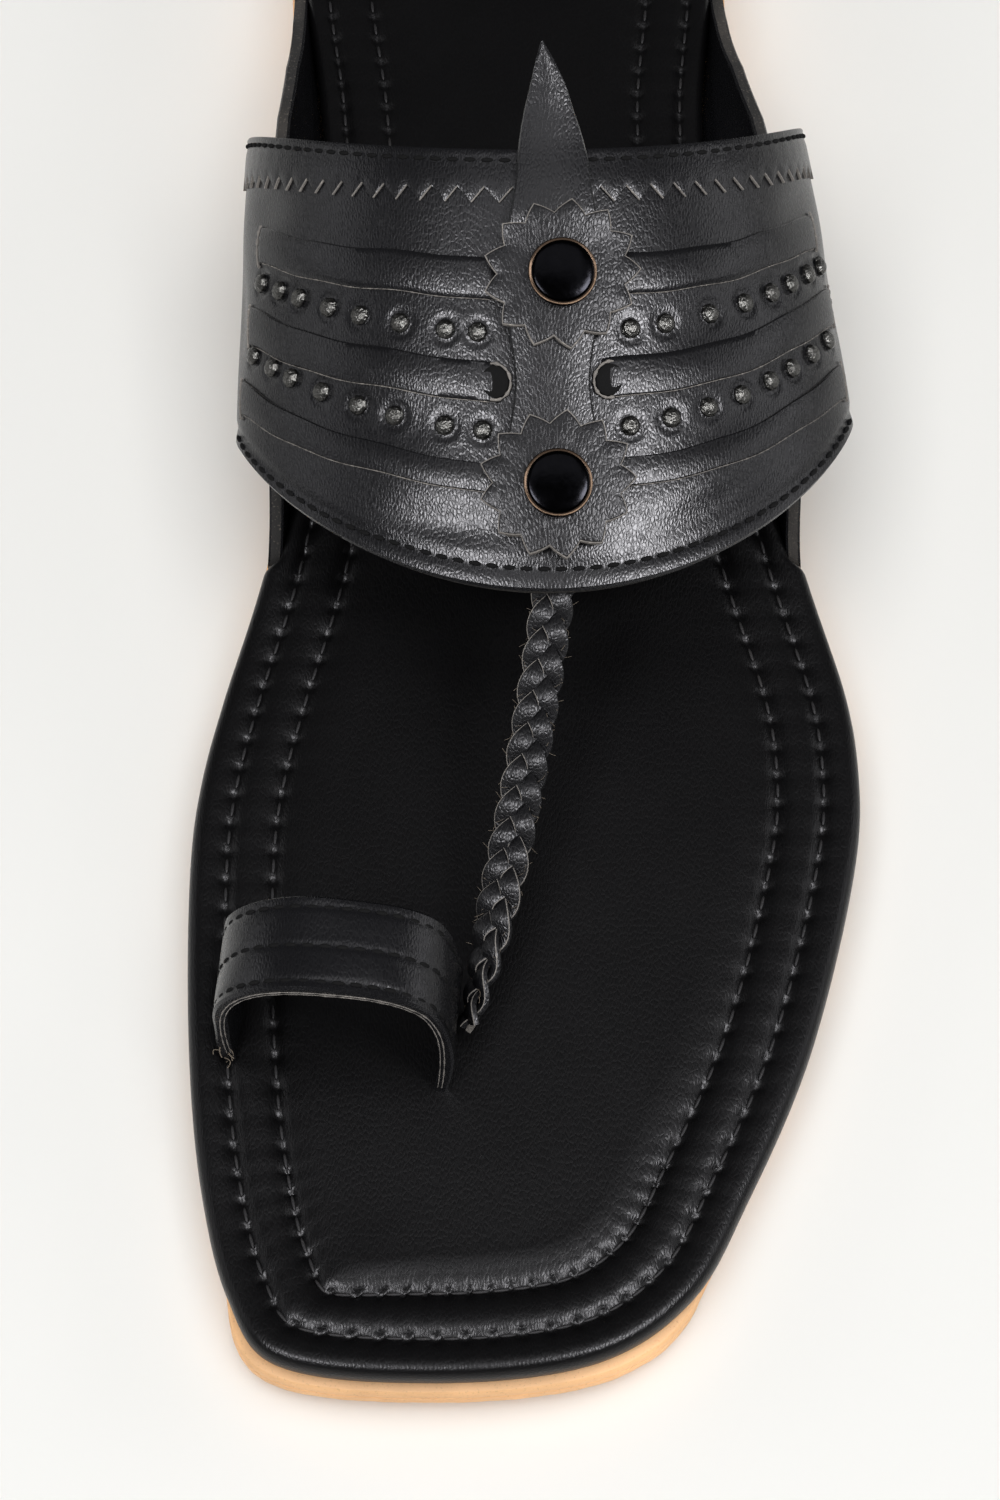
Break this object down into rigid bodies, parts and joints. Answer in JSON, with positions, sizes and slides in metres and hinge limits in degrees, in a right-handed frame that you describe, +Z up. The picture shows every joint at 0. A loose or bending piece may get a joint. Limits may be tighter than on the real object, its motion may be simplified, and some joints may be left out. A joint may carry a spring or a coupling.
{
  "type": "kolhapuri sandal",
  "caption": "Black leather Kolhapuri sandal for the left foot: wide vamp band with raised strips, rosettes and cap rivets, side ears, braid and toe loop on a wrapped footbed and tan sole",
  "frame": {"origin": "on the floor under the middle of the sandal's bounding box", "axes": "+Z up, +Y towards the heel, -Y towards the toe, +X towards the outer side of the left foot, -X towards the big toe"},
  "size_m": [0.102, 0.2826, 0.076],
  "materials": {
    "natural_sole_leather": "matt cut leather edge, natural tan",
    "smooth_black_leather": "smooth black wrapping leather with a soft sheen",
    "grained_black_leather": "pebbled black leather with a soft sheen",
    "black_nickel": "glossy black with a thin copper rim"
  },
  "bodies": {
    "root": {"outsole": "natural_sole_leather", "heel_lift": "natural_sole_leather", "footbed": "smooth_black_leather", "upper": "grained_black_leather", "centre_strap": "grained_black_leather", "rosette_lower": "grained_black_leather", "cap_rivet_lower": "black_nickel", "rosette_upper": "grained_black_leather", "cap_rivet_upper": "black_nickel"}
  },
  "joints": []
}
